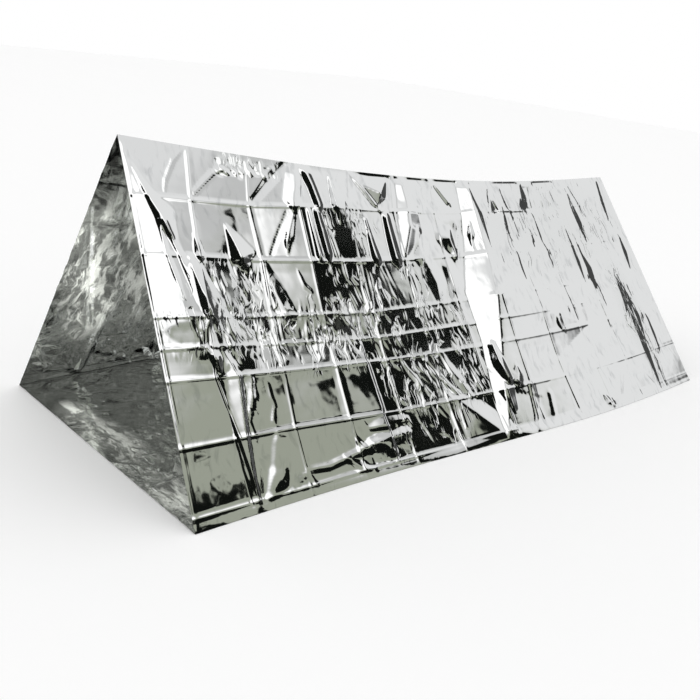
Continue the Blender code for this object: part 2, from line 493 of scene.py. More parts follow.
def crinkle(relief, dice, zone):
    """Fills a zone with short sharp folds, most of them running the way that the film is pulled."""
    middle_along, middle_down, half_along, half_down, lean, spread, count, long, thin, steep = zone
    for _ in range(count):
        along = middle_along + half_along * dice.uniform(-1.0, 1.0)
        down = middle_down + half_down * dice.uniform(-1.0, 1.0)
        turn = math.radians(lean + spread * dice.normal())
        size = long * dice.uniform(*LONG_SHARES) / 2
        to_along, to_down = math.sin(turn) * size / COLUMN, math.cos(turn) * size / ROW
        path = (
            (along - to_along, down - to_down, TIP_WIDTH),
            (along, down, 1.0),
            (along + to_along, down + to_down, TIP_WIDTH),
        )
        near, far = thin * dice.uniform(*THIN_SHARES, 2)
        slope = steep * dice.uniform(*STEEP_SHARES) * dice.choice((-1.0, 1.0))
        relief.fold(path, near, far, slope * min(near, far))


# %% [markdown]
# ## The right wall
# This is the wall that faces the camera, so it carries the most. Rows and columns are the
# creases of the pack, twelve columns along and just over six rows down. Tables name each pulled
# fold by where it starts and ends in columns and rows, because that is how you would point it
# out on the real tent: from the second crease at the ridge to the first at the ground.

# %% How the right wall hangs
# How far the wall stands out at each row, in millimetres, at these columns
HANG_COLUMNS = (0.0, 1.0, 1.7, 2.0, 3.0, 3.9, 4.1, 5.0, 6.0, 9.0, 12.0)
RIGHT_HANG = (
    # row, height at each of the columns
    (0.0, (0, 0, 0, 0, 0, 0, 0, 0, 0, 0, 0)),
    (1.0, (0, 0, 0, 0, 7, 8, 6, 2, 1, 0, 0)),
    (2.0, (0, 1, -6, -4, 4, 4, 6, 3, 1, 0, 0)),
    (3.0, (0, 5, -8, -6, 0, 0, 2, 2, 1, 0, 0)),
    (3.5, (0, 5, -7, -6, -3, -2, 0, 0, 2, 0, 0)),
    (4.0, (0, 2, -2, -3, -1, -3, -2, 0, 2, 0, 0)),
    (5.0, (0, 0, -1, -1, 0, -3, -3, -1, 0, 0, 0)),
    (6.0, (-1, -2, -1, -1, -2, -2, -2, -4, -4, -2, -2)),
    (6.2, (0, 0, 0, 0, 0, 0, 0, 0, 0, 0, 0)),
)

# %% Folds of the right wall
# Crests: the path by column, row and width, then the reach to its left and right and the height,
# all three in millimetres. A trough's height is below zero. First the long folds at both ends
# and in the middle, then the smaller ones from front to far
RIGHT_FOLDS = (
    # path, near, far, rise
    (((0.03, 0.29, 0.06), (0.13, 0.75, 0.27), (0.20, 1.02, 0.42), (0.29, 1.40, 0.60),
      (0.33, 1.90, 0.68), (0.38, 2.30, 0.78), (0.50, 3.00, 0.90), (0.60, 3.50, 0.30)), 100, 100, 6.5),
    (((0.12, 0.47, 0.15), (0.20, 0.75, 0.30), (0.29, 1.02, 0.60), (0.41, 1.31, 1.00),
      (0.47, 1.55, 0.60)), 25, 50, 6.8),
    (((0.35, 1.40, 0.50), (0.37, 1.90, 0.30), (0.43, 2.30, 0.40), (0.50, 2.70, 0.10)), 20, 30, 5.4),
    (((0.42, 1.40, 0.50), (0.57, 1.92, 0.45), (0.63, 2.25, 0.50), (0.70, 2.80, 0.10)), 20, 30, 5.4),
    (((0.95, 3.55, 0.30), (1.12, 4.00, 0.90), (1.03, 5.00, 1.00), (1.01, 5.60, 0.80),
      (1.02, 6.10, 0.50)), 46, 9, 3.8),
    (((0.86, 3.95, 0.60), (0.83, 5.00, 1.00), (0.89, 6.05, 0.80)), 4, 4, -0.7),
    (((6.96, 0.03, 0.38), (6.94, 1.00, 0.52), (6.92, 1.50, 0.64), (6.89, 2.00, 0.78),
      (6.77, 2.94, 1.00), (6.50, 4.00, 0.60), (6.19, 5.09, 0.35), (6.00, 6.00, 0.20)), 144, 540, 27.0),
    (((10.88, 2.74, 0.20), (10.77, 3.24, 0.60), (10.68, 3.74, 0.95), (10.75, 4.10, 0.85),
      (10.70, 4.95, 0.55), (10.76, 5.97, 0.12)), 200, 92, 9.6),
    # columns 0 to 2
    (((0.68, 3.47, 0.20), (0.81, 3.68, 1.00), (0.84, 3.90, 0.20)), 21, 20, 5.6),
    (((0.05, 0.10, 1.00), (0.05, 6.15, 1.00)), 7, 4, 0.8),
    (((0.87, 1.56, 0.20), (0.88, 1.94, 1.00)), 16, 20, 4.3),
    (((0.72, 2.10, 0.80), (0.86, 2.86, 1.00), (0.90, 3.00, 0.50)), 28, 40, 7.5),
    (((0.99, 0.02, 0.50), (0.77, 0.29, 1.00), (0.58, 0.68, 0.80), (0.54, 0.88, 0.30)), 7, 6, 1.2),
    (((1.46, 0.34, 1.00), (1.00, 0.83, 0.80)), 8, 10, 1.4),
    (((1.45, 0.38, 0.60), (1.55, 0.34, 0.90), (1.62, 0.38, 0.70), (1.72, 0.33, 1.00),
      (1.80, 0.37, 0.80), (1.92, 0.34, 0.90)), 7, 8, 1.5),
    (((1.42, 1.36, 0.10), (1.51, 1.65, 0.60), (1.58, 1.93, 1.00), (1.60, 2.02, 0.50)), 38, 60, 10.3),
    (((2.72, 0.03, 1.00), (2.32, 0.46, 1.00), (1.96, 0.89, 0.60)), 15, 20, -3.0),
    (((2.92, 0.03, 0.80), (2.85, 0.41, 1.00), (2.71, 0.84, 0.90), (2.68, 0.98, 0.30)), 42, 30, 5.4),
    (((2.56, 1.04, 0.60), (2.33, 1.46, 1.00), (2.12, 1.88, 1.00)), 6, 6, -0.8),
    (((2.68, 1.06, 0.30), (2.51, 1.44, 1.00), (2.44, 1.62, 0.80), (2.42, 1.85, 0.10)), 12, 20, 3.4),
    (((1.98, 2.05, 0.40), (2.05, 2.55, 1.00), (2.18, 2.96, 1.00)), 30, 36, 2.4),
    (((2.54, 2.17, 0.60), (2.60, 2.45, 1.00), (2.72, 2.59, 0.60)), 7, 7, 0.8),
    (((1.33, 4.05, 0.80), (1.27, 4.40, 1.00), (1.13, 4.76, 0.60), (1.19, 5.03, 0.30)), 24, 6, 1.7),
    (((1.57, 4.17, 0.60), (1.58, 4.44, 1.00), (1.62, 4.60, 0.50)), 12, 5, 0.6),
    (((1.58, 4.58, 0.60), (1.51, 4.83, 1.00)), 10, 10, 0.9),
    # the fan at the second peg
    (((1.11, 5.35, 0.40), (1.09, 5.72, 1.00), (1.08, 6.05, 0.50)), 8, 6, 0.8),
    (((1.52, 5.02, 0.30), (1.51, 5.14, 1.00), (1.36, 5.62, 0.80), (1.13, 6.05, 0.20)), 24, 70, 1.5),
    (((1.58, 5.60, 0.10), (1.42, 5.80, 1.00), (1.10, 6.14, 0.15)), 60, 30, 2.2),
    (((1.85, 5.80, 1.00), (1.53, 6.00, 0.60)), 6, 6, 0.9),
    (((1.90, 5.82, 0.60), (1.99, 6.08, 1.00)), 10, 8, 1.0),
    (((1.90, 5.75, 0.30), (2.27, 5.78, 0.40), (2.83, 5.68, 0.50), (3.27, 5.57, 0.90),
      (3.78, 5.54, 1.00), (3.95, 5.50, 0.30)), 30, 30, 3.6),
    (((2.58, 5.70, 0.40), (2.79, 5.93, 1.00), (3.03, 6.07, 0.60)), 20, 20, 2.2),
    # columns 3 to 5
    (((3.05, 0.06, 1.20), (3.15, 0.43, 0.90), (3.20, 0.84, 0.90), (3.21, 0.97, 0.30)), 18, 28, 8.6),
    (((3.58, 0.15, 0.30), (3.56, 0.47, 0.60), (3.56, 0.85, 1.00)), 14, 58, 7.0),
    (((3.56, 0.18, 0.40), (3.52, 0.80, 1.00)), 7, 20, 1.9),
    (((4.04, 0.06, 0.80), (4.27, 0.41, 1.00), (4.45, 0.73, 0.80)), 10, 50, 2.7),
    (((4.85, 0.12, 0.20), (4.62, 0.46, 1.00), (4.55, 0.70, 0.15)), 80, 35, 8.4),
    (((5.22, 0.03, 0.60), (5.23, 0.61, 0.90), (5.15, 1.18, 1.10), (4.90, 1.79, 0.35)), 50, 60, 7.5),
    (((2.98, 0.96, 0.50), (3.00, 1.42, 0.70), (3.02, 1.88, 1.00)), 17, 20, 4.6),
    (((3.13, 0.97, 0.80), (3.15, 1.37, 1.00), (3.18, 1.87, 1.00), (3.19, 1.97, 0.40)), 14, 24, 7.2),
    (((3.29, 0.97, 0.80), (3.32, 1.37, 0.90), (3.38, 1.82, 1.00), (3.40, 1.95, 0.50)), 10, 10, 0.9),
    (((4.15, 1.02, 0.30), (4.16, 1.58, 0.70), (4.17, 1.90, 1.00)), 18, 28, 8.2),
    (((4.63, 0.98, 0.75), (4.62, 1.40, 0.90), (4.62, 1.92, 1.00)), 20, 32, 9.6),
    (((3.46, 4.08, 0.90), (3.50, 5.00, 1.00)), 160, 10, 4.4),
    (((5.36, 1.26, 0.40), (5.24, 1.89, 1.00)), 34, 34, 2.0),
    (((3.76, 2.04, 0.50), (3.76, 3.00, 1.00)), 10, 10, 1.0),
    (((5.35, 2.03, 0.80), (5.45, 2.46, 1.00), (5.42, 2.89, 0.40)), 48, 48, 2.4),
    (((5.83, 2.13, 0.75), (5.90, 2.49, 1.00), (5.75, 2.94, 0.50)), 40, 50, 2.0),
    (((4.16, 4.10, 0.20), (4.40, 4.60, 1.00), (4.66, 5.02, 0.40)), 15, 15, 1.4),
    (((5.02, 4.00, 0.20), (5.21, 4.56, 1.00), (5.42, 5.06, 0.60)), 26, 26, 2.2),
    (((4.70, 4.06, 0.20), (4.92, 4.60, 1.00), (5.16, 5.02, 0.30)), 10, 10, 1.0),
    (((3.15, 5.30, 0.40), (3.50, 5.32, 1.00), (3.95, 5.28, 0.50)), 20, 40, 3.0),
    (((3.04, 5.50, 0.10), (3.45, 5.74, 1.00), (3.53, 6.05, 0.10)), 46, 30, 3.2),
    (((5.05, 5.08, 0.30), (5.40, 5.50, 0.80), (5.92, 6.12, 0.80)), 240, 80, 6.0),
    (((5.08, 5.09, 0.50), (5.07, 5.71, 1.00)), 6, 6, 0.6),
    # column 6 and the far columns
    (((6.01, 0.09, 0.50), (5.50, 0.68, 1.00)), 9, 30, 2.5),
    (((6.04, 0.08, 0.60), (6.32, 0.56, 1.00)), 12, 30, 3.2),
    (((6.18, 1.22, 0.20), (6.09, 1.45, 1.00), (6.15, 1.91, 0.20)), 70, 28, 6.0),
    (((6.41, 1.17, 0.80), (6.13, 1.91, 0.80)), 30, 9, 2.0),
    (((6.72, 1.08, 0.30), (6.66, 1.39, 1.00), (6.60, 1.74, 0.30)), 16, 16, 4.0),
    (((6.95, 0.30, 0.40), (7.00, 0.92, 1.00), (7.06, 1.62, 0.20)), 200, 30, 4.6),
    (((7.60, 0.50, 0.20), (7.69, 0.77, 1.00), (7.69, 0.84, 0.60)), 56, 10, -6.0),
    (((7.38, 0.87, 0.60), (7.80, 0.86, 1.00), (8.86, 0.86, 0.80)), 6, 10, -2.6),
    (((7.95, 0.20, 0.50), (7.99, 0.66, 1.00), (8.05, 0.80, 0.60)), 40, 12, 2.0),
    (((8.77, 0.04, 0.15), (8.87, 0.45, 0.70), (8.84, 0.77, 1.00), (8.84, 0.85, 0.60)), 80, 220, -10.8),
    (((7.83, 0.84, 0.60), (7.71, 1.25, 1.00), (7.77, 1.52, 0.30)), 70, 26, 3.9),
    (((8.09, 0.85, 0.60), (8.09, 1.40, 0.60)), 30, 10, 1.2),
    (((8.53, 1.29, 0.50), (8.50, 1.59, 1.00)), 40, 14, 2.0),
    (((8.84, 0.83, 0.80), (8.78, 1.21, 1.00), (8.78, 1.64, 0.60), (8.84, 1.98, 1.60)), 40, 14, 2.0),
    (((7.80, 1.95, 0.60), (7.75, 2.33, 1.00), (7.78, 2.63, 0.30)), 40, 13, 1.8),
    (((7.27, 1.94, 0.60), (7.27, 2.16, 0.60)), 24, 10, 1.4),
    (((9.75, 1.28, 0.30), (9.70, 1.87, 0.80), (9.68, 2.32, 1.00), (9.71, 2.85, 0.30)), 90, 30, 3.0),
    (((10.30, 0.42, 0.40), (10.21, 0.98, 1.00), (10.24, 1.44, 1.00), (10.33, 1.74, 0.20)), 100, 46, 4.4),
    (((10.44, 0.22, 0.60), (10.58, 0.80, 1.00)), 40, 14, 1.8),
    (((10.02, 2.05, 0.20), (10.19, 2.56, 0.70), (10.17, 2.90, 1.00), (10.16, 2.99, 0.60)), 65, 220, -7.0),
    (((11.70, 0.02, 0.60), (11.52, 0.79, 1.00), (11.53, 1.21, 0.50)), 60, 30, 3.0),
    (((11.66, 1.86, 0.30), (11.56, 2.28, 1.00), (11.57, 2.74, 0.20)), 80, 37, 4.6),
    (((11.39, 4.25, 0.50), (11.34, 4.70, 1.00), (11.32, 5.10, 0.50)), 50, 17, 2.0),
    (((8.33, 3.68, 0.80), (8.31, 3.80, 1.00), (8.34, 3.92, 0.80)), 20, 34, 2.6),
    (((6.26, 4.05, 0.60), (6.26, 4.48, 1.00), (6.36, 4.89, 0.80)), 26, 30, 8.0),
    (((6.68, 4.58, 0.10), (6.65, 4.82, 0.70), (6.56, 5.01, 1.00), (6.55, 5.04, 0.40)), 40, 34, 4.8),
    (((6.15, 5.27, 0.80), (6.15, 5.78, 1.00), (6.14, 6.15, 0.50)), 7, 7, 1.0),
    (((6.25, 5.13, 1.00), (6.27, 5.50, 0.60)), 40, 35, 2.8),
    (((6.87, 5.12, 0.80), (6.80, 5.79, 1.00), (6.68, 6.15, 0.80)), 16, 35, 2.0),
    (((7.34, 5.41, 1.00), (7.22, 6.04, 1.00)), 20, 13, 0.8),
    (((8.80, 5.79, 0.30), (8.90, 6.06, 1.00)), 40, 28, 4.0),
    (((9.60, 5.30, 1.00), (9.20, 6.10, 0.40)), 30, 30, 1.2),
    # the hollow just under the ridge
    (((4.10, 0.062, 0.60), (4.45, 0.062, 1.00), (4.95, 0.062, 1.00)), 12, 10, -5.0),
    (((5.08, 0.062, 1.00), (5.90, 0.062, 1.00)), 12, 10, -5.0),
    (((6.05, 0.062, 1.00), (6.70, 0.062, 1.00)), 12, 10, -7.5),
    (((7.10, 0.062, 1.00), (8.60, 0.062, 1.00)), 12, 10, -8.5),
    (((9.20, 0.062, 1.00), (9.90, 0.062, 1.00)), 12, 10, -8.5),
)

# %% Where the right wall is crushed
# Each zone of small folds: middle and half size in columns and rows, the lean of its folds from
# straight down and its spread in degrees, then how many, how long, how thin and how steep
RIGHT_CRINKLE = (
    # along, down, half_along, half_down, lean, spread, count, long, thin, steep
    (1.35, 2.5, 0.35, 0.5, 8.0, 18.0, 26, 0.070, 0.008, 0.14),
    (0.90, 3.2, 0.45, 0.5, 12.0, 18.0, 24, 0.070, 0.008, 0.13),
    (2.20, 3.4, 1.30, 0.5, 8.0, 20.0, 72, 0.060, 0.007, 0.13),
    (4.00, 2.5, 1.05, 0.4, 14.0, 10.0, 34, 0.085, 0.006, 0.12),
    (4.60, 3.5, 1.30, 0.5, 14.0, 18.0, 48, 0.070, 0.006, 0.12),
    (5.00, 4.5, 0.85, 0.5, 24.0, 16.0, 36, 0.080, 0.008, 0.12),
    (3.80, 4.4, 0.30, 0.5, 10.0, 40.0, 20, 0.040, 0.008, 0.12),
    (0.35, 3.2, 0.35, 0.35, 0.0, 50.0, 40, 0.035, 0.007, 0.04),
    (1.25, 4.5, 0.14, 0.45, 0.0, 30.0, 16, 0.028, 0.005, 0.16),
    (3.85, 1.0, 0.20, 0.3, 0.0, 30.0, 16, 0.040, 0.006, 0.12),
    (1.70, 0.14, 0.25, 0.12, 0.0, 60.0, 18, 0.030, 0.006, 0.28),
    (2.30, 0.22, 0.30, 0.16, 20.0, 60.0, 26, 0.030, 0.006, 0.28),
    (1.68, 0.36, 0.26, 0.04, 80.0, 30.0, 14, 0.030, 0.006, 0.30),
    (3.90, 5.6, 1.10, 0.4, 30.0, 30.0, 22, 0.070, 0.009, 0.10),
    (9.20, 1.1, 2.60, 1.0, 2.0, 8.0, 26, 0.140, 0.010, 0.07),
    (10.9, 3.4, 0.25, 0.8, 0.0, 20.0, 22, 0.060, 0.006, 0.16),
    (8.80, 3.2, 1.20, 0.5, 0.0, 40.0, 20, 0.050, 0.010, 0.03),
)
# Where fine crackle shows: middle and half size in columns and rows, then how strongly
RIGHT_CRUSHED = (
    # along, down, half_along, half_down, strength
    (1.3, 2.9, 1.0, 1.1, 1.0),
    (2.6, 3.4, 1.7, 0.8, 1.0),
    (4.2, 3.0, 2.0, 1.4, 0.85),
    (4.9, 4.4, 1.4, 1.2, 0.8),
    (4.3, 5.7, 1.3, 0.5, 0.4),
    (0.4, 3.2, 0.5, 0.5, 0.5),
    (1.7, 0.12, 0.4, 0.25, 1.0),
    (2.3, 0.2, 0.45, 0.3, 1.0),
    (3.7, 1.3, 0.7, 0.7, 0.7),
    (10.9, 4.1, 0.5, 2.0, 0.8),
    (9.3, 1.3, 3.2, 1.6, 0.4),
)
# Where a glow is painted on the inside, standing in for daylight through the film
RIGHT_PAINTED_GLOW = (
    # along, down, half_along, half_down, strength
    (6.00, 2.6, 8.0, 2.6, 0.3),
)
print("right wall:", len(RIGHT_FOLDS), "folds and", sum(zone[6] for zone in RIGHT_CRINKLE), "crinkles")

# %% Readers of the tables
# How fast a zone's strength falls beside its rim, so that its middle part has it in full
ZONE_STEEP = 1.6


def add_table(relief, folds):
    for path, near, far, rise in folds:
        relief.fold(path, 0.001 * near, 0.001 * far, 0.001 * rise)


def zone_mask(relief, zones):
    """The strength of each zone over its middle, falling to 0 at its rim."""
    mask = np.zeros_like(relief.height)
    for along, down, half_along, half_down, strength in zones:
        away = np.hypot(
            (relief.along / COLUMN - along) / half_along, (relief.down / ROW - down) / half_down
        )
        mask = np.maximum(mask, strength * np.clip(ZONE_STEEP * (1.0 - away), 0.0, 1.0))
    return mask


# %% [markdown]
# ### From height map to sheet
# The sheet starts as a flat grid from bmesh. Each of its points knows its share of the way
# along and down, and takes its place on the plain form plus its height along the wall's own
# outward direction. Heights fade to nothing within three centimetres of the ridge and of the
# ground edge, so the three sheets meet in clean folds.

# %% Sheet maker
EDGE_FADE = 0.03


def flat_sheet(name, relief):
    """A flat grid with as many points as the map, and the map's index for each of them."""
    cuts_down, cuts_along = relief.height.shape[0] - 1, relief.height.shape[1] - 1
    shape = bmesh.new()
    bmesh.ops.create_grid(shape, x_segments=cuts_along, y_segments=cuts_down, size=0.5)
    mesh = bpy.data.meshes.new(name)
    shape.to_mesh(mesh)
    shape.free()
    places = np.empty(len(mesh.vertices) * 3, np.float32)
    mesh.vertices.foreach_get("co", places)
    places = places.reshape(-1, 3)
    columns = np.rint((places[:, 0] + 0.5) * cuts_along).astype(int)
    rows = np.rint((places[:, 1] + 0.5) * cuts_down).astype(int)
    return mesh, (rows, columns)


def finish_sheet(mesh, points, along, down, crushed, painted_glow, outward_flip):
    """Puts the points in place, and keeps each one's place on the flat film as a map in metres."""
    mesh.vertices.foreach_set("co", (points - MIDDLE).astype(np.float32).ravel())
    corners = np.empty(len(mesh.loops), np.int32)
    mesh.loops.foreach_get("vertex_index", corners)
    flat = np.stack((along, down), 1).astype(np.float32)
    chart = mesh.uv_layers.new(name="film_map")
    chart.uv.foreach_set("vector", flat[corners].ravel())
    # Besides the crushed mask, each point keeps the mask of the glow painted on the inner face
    for name, values in (("crushed", crushed), ("painted_glow", painted_glow)):
        layer = mesh.attributes.new(name, "FLOAT", "POINT")
        layer.data.foreach_set("value", values.astype(np.float32))
    if outward_flip:
        mesh.flip_normals()
    mesh.shade_smooth()
    mesh.update()
    piece = bpy.data.objects.new(mesh.name, mesh)
    bpy.context.scene.collection.objects.link(piece)
    print(mesh.name, len(mesh.polygons) * 2, "triangles")
    return piece


# %% Wall maker
def wall_sheet(name, relief, crushed, painted_glow, foot_points, outward_flip):
    mesh, index = flat_sheet(name, relief)
    along, down = relief.along[index], relief.down[index]
    share, down_share = along / FILM_LENGTH, down / WALL_DROP
    top, foot = ridge_points(share), foot_points(share)
    slope = foot - top
    length = np.linalg.norm(slope, axis=1)
    outward = np.stack((np.zeros_like(share), slope[:, 2], -slope[:, 1]), 1)
    outward *= (np.sign(outward[:, 2]) / np.linalg.norm(outward, axis=1))[:, None]
    from_edge = np.minimum(down_share, 1.0 - down_share) * length
    rise = relief.height[index] * np.clip(from_edge / EDGE_FADE, 0.0, 1.0)
    belly = WALL_BELLY * 4.0 * down_share * (1.0 - down_share) * np.sin(np.pi * share)
    points = top + slope * down_share[:, None] + outward * (rise - belly)[:, None]
    return finish_sheet(mesh, points, along, down, crushed[index], painted_glow[index], outward_flip)


# %% Right wall
def right_wall():
    dice = np.random.default_rng(CRINKLE_SEED)
    relief = Relief(range(PACK_COLUMNS + 1), PACK_ROWS, gap_along=0.0048, gap_down=0.0080)
    relief.hang(RIGHT_HANG, HANG_COLUMNS)
    relief.pack_creases(dice, faint=0.5)
    add_table(relief, RIGHT_FOLDS)
    for zone in RIGHT_CRINKLE:
        crinkle(relief, dice, zone)
    crushed = zone_mask(relief, RIGHT_CRUSHED)
    # The mask of the glow painted on the inner face
    painted_glow = zone_mask(relief, RIGHT_PAINTED_GLOW)
    return wall_sheet("film_wall_right", relief, crushed, painted_glow, right_edge_points, True)


right = right_wall()

# %% [markdown]
# ## The left wall
# Only its inner face shows, through the open end, but it has to look right from behind as well.
# It hangs from the same ridge with the same pack creases and folds of its own.

# %% Tables of the left wall
LEFT_FOLDS = (
    # path, near, far, rise
    (((0.02, 1.50, 0.3), (0.35, 2.90, 1.0), (0.85, 4.60, 0.4)), 30, 22, 9),
    (((0.35, 0.60, 0.3), (0.55, 1.80, 1.0), (0.75, 3.00, 0.4)), 40, 40, -8),
    (((1.05, 2.60, 0.5), (1.00, 6.00, 1.0)), 20, 20, -7),
    (((5.60, 0.10, 0.3), (6.10, 3.20, 1.0), (6.40, 6.00, 0.3)), 120, 180, 16),
    (((3.10, 0.10, 0.4), (3.40, 2.30, 1.0)), 40, 40, -8),
    (((8.60, 0.10, 0.4), (8.20, 2.70, 1.0)), 45, 45, -8),
    (((11.6, 0.40, 0.4), (11.2, 3.00, 1.0), (11.0, 5.80, 0.4)), 50, 40, -9),
    (((2.30, 3.20, 0.4), (2.70, 5.90, 1.0)), 50, 50, 7),
    (((9.30, 2.80, 0.4), (9.80, 5.90, 1.0)), 50, 50, 7),
)
LEFT_CRINKLE = (
    # along, down, half_along, half_down, lean, spread, count, long, thin, steep
    (0.8, 2.6, 1.2, 2.4, 10.0, 40.0, 200, 0.070, 0.012, 0.14),
    (4.0, 3.0, 3.5, 2.2, 6.0, 20.0, 400, 0.110, 0.014, 0.13),
    (8.6, 3.2, 3.2, 2.4, -8.0, 20.0, 300, 0.120, 0.015, 0.10),
)
LEFT_CRUSHED = (
    # along, down, half_along, half_down, strength
    (0.8, 3.0, 1.4, 3.0, 0.8),
    (4.4, 3.2, 3.4, 2.4, 1.0),
    (9.0, 3.2, 2.6, 2.4, 0.5),
)
# Where a glow is painted on the inside, standing in for daylight through the film: it is
# strongest at the open end, and the ridge and the ground edge stay dark
LEFT_PAINTED_GLOW = (
    # along, down, half_along, half_down, strength
    (0.10, 2.2, 0.5, 1.0, 1.0),
    (0.35, 3.1, 0.5, 1.1, 1.0),
    (0.70, 4.0, 0.5, 1.1, 0.8),
    (1.50, 2.6, 2.0, 2.2, 0.4),
    (7.00, 2.6, 6.0, 2.2, 0.3),
)
print("left wall:", len(LEFT_FOLDS), "folds and", sum(zone[6] for zone in LEFT_CRINKLE), "crinkles")


# %% Left wall
def left_wall():
    dice = np.random.default_rng(CRINKLE_SEED + 1)
    relief = Relief(range(PACK_COLUMNS + 1), PACK_ROWS, gap_along=0.0055, gap_down=0.0085)
    relief.pack_creases(dice, faint=0.6)
    add_table(relief, LEFT_FOLDS)
    for zone in LEFT_CRINKLE:
        crinkle(relief, dice, zone)
    crushed = zone_mask(relief, LEFT_CRUSHED)
    # The mask of the glow painted on the inner face
    painted_glow = zone_mask(relief, LEFT_PAINTED_GLOW)
    return wall_sheet("film_wall_left", relief, crushed, painted_glow, left_edge_points, False)


left = left_wall()

# %% [markdown]
# ## The floor
# The floor is the same film lying on the ground. It can't go below the ground, so its folds
# only ever stand up. Beside the left wall, near the open end, most of them run along the tent,
# because the film is drawn tight there.

# %% Sizes and tables of the floor
# The film lies this far above the ground, and comes down to it within this far of its two edges
FLOOR_LIFT = 0.0012
FLOOR_RIM = 0.004
FLOOR_CRUSHED = 0.7
FLOOR_ROWS = (0.0, 1.0, 2.0, 3.0, 4.0, 5.0, 6.0, (GIRTH - 2 * WALL_DROP) / ROW)
# Where a glow is painted on the floor's inner face, standing in for daylight through the film
FLOOR_PAINTED_GLOW = (
    # along, down, half_along, half_down, strength
    (0.30, 1.8, 0.35, 0.7, 0.8),
    (0.35, 3.0, 0.40, 1.3, 0.4),
    (0.30, 5.6, 0.40, 0.9, 0.4),
)
FLOOR_CRINKLE = (
    # along, down, half_along, half_down, lean, spread, count, long, thin, steep
    (1.2, 1.2, 2.6, 1.6, 80.0, 22.0, 260, 0.140, 0.018, 0.14),
    (1.2, 4.2, 2.2, 2.4, 30.0, 45.0, 260, 0.090, 0.016, 0.16),
    (7.0, 3.3, 5.0, 3.2, 60.0, 50.0, 400, 0.130, 0.020, 0.12),
)
print("floor:", sum(zone[6] for zone in FLOOR_CRINKLE), "crinkles")


# %% Floor sheet
def floor_sheet():
    dice = np.random.default_rng(CRINKLE_SEED + 2)
    width = FLOOR_ROWS[-1] * ROW
    columns = range(PACK_COLUMNS + 1)
    relief = Relief(columns, FLOOR_ROWS, gap_along=0.0075, gap_down=0.0085, drifting=False)
    for zone in FLOOR_CRINKLE:
        crinkle(relief, dice, zone)
    relief.pack_creases(dice, faint=0.6)
    mesh, index = flat_sheet("film_floor", relief)
    along, down = relief.along[index], relief.down[index]
    share, across = along / FILM_LENGTH, down / width
    start, end = left_edge_points(share), right_edge_points(share)
    points = start + (end - start) * across[:, None]
    from_edge = np.minimum(across, 1.0 - across) * np.linalg.norm(end - start, axis=1)
    rise = np.abs(relief.height[index])
    points[:, 2] = FLOOR_LIFT + rise * np.clip(from_edge / EDGE_FADE, 0.0, 1.0)
    points[:, 2] *= np.clip(from_edge / FLOOR_RIM, 0.0, 1.0)
    crushed = np.full(len(points), FLOOR_CRUSHED)
    # The mask of the glow painted on the inner face
    painted_glow = zone_mask(relief, FLOOR_PAINTED_GLOW)[index]
    return finish_sheet(mesh, points, along, down, crushed, painted_glow, False)


floor = floor_sheet()

# %% [markdown]
# ## The film's finish
# Aluminium on polyester is nearly a perfect mirror, cool and bright. What makes it read as film
# is that the mirror is never clean. Where it is crushed it breaks into little flat facets, some
# of them leaning sharply to one side. A Voronoi texture does just that: it cuts the film into
# cells, and gives each a colour and a middle of its own. The colour picks which cells lean and
# how far, and the distance to the cell's edge brings each back to the film at its rim. Clouds
# of noise make the crackle patchy and dull the mirror where it was rubbed in the pack. On the
# inside a glow is painted in spots. It is an emission that stands in for daylight through the
# film and for light bounced in from the open end.

# %% Texture helpers
def vector_math(tree, operation, first, second=None, scale=None):
    node = tree.nodes.new("ShaderNodeVectorMath")
    node.operation = operation
    for socket, value in ((node.inputs[0], first), (node.inputs[1], second)):
        if isinstance(value, bpy.types.NodeSocket):
            tree.links.new(value, socket)
        elif value is not None:
            socket.default_value = value
    if scale is not None:
        node.inputs["Scale"].default_value = scale
    return node.outputs["Vector"]


def voronoi(tree, place, scale, feature):
    node = tree.nodes.new("ShaderNodeTexVoronoi")
    node.voronoi_dimensions = "2D"
    node.feature = feature
    node.inputs["Scale"].default_value = scale
    tree.links.new(place, node.inputs["Vector"])
    return node


# %% Flakes
# How much of a cell's width, beside its edge, it takes to come up to its own lean
FLAKE_RIM = 0.14
# The gentlest of the leaning cells has this share of the lean, and the others have more
LEAST_LEAN = 0.4


def flakes(tree, place, scale, share, lean):
    """Height of cells of which a share lean sharply to one side, and the rest lie flat."""
    cell = voronoi(tree, place, scale, "F1")
    edge = voronoi(tree, place, scale, "DISTANCE_TO_EDGE").outputs["Distance"]
    colour = tree.nodes.new("ShaderNodeSeparateXYZ")
    tree.links.new(cell.outputs["Color"], colour.inputs[0])
    aside = tree.nodes.new("ShaderNodeSeparateXYZ")
    tree.links.new(vector_math(tree, "SUBTRACT", place, cell.outputs["Position"]), aside.inputs[0])
    chosen = math_node(tree, "LESS_THAN", colour.outputs["Z"], share)
    way = math_node(tree, "SIGN", math_node(tree, "SUBTRACT", colour.outputs["X"], 0.5))
    steep = math_node(tree, "MULTIPLY_ADD", colour.outputs["Y"], lean, LEAST_LEAN * lean)
    slope = math_node(tree, "MULTIPLY", math_node(tree, "MULTIPLY", way, steep), chosen)
    inside = ramp_between(tree, edge, 0.0, FLAKE_RIM)
    height = math_node(tree, "MULTIPLY", slope, aside.outputs["X"])
    return math_node(tree, "MULTIPLY", height, inside)


# %% Crackle group
# Slow swirls bend the pattern and make it patchy: scale and detail, how far they push it, how
# much they lift the film, and from where to where in the noise crackle and rubs set in
SWIRL = (9.0, 2.0)
SWIRL_PUSH = 0.06
SWIRL_LIFT = 0.0006
CRACKLE_FROM = (0.40, 0.52)
RUBS_NEAR = (0.40, 0.60)
# Places down the wall are scaled by 0.32, so cells and clouds are three times as long as wide
STRETCH = (1.0, 0.32, 1.0)
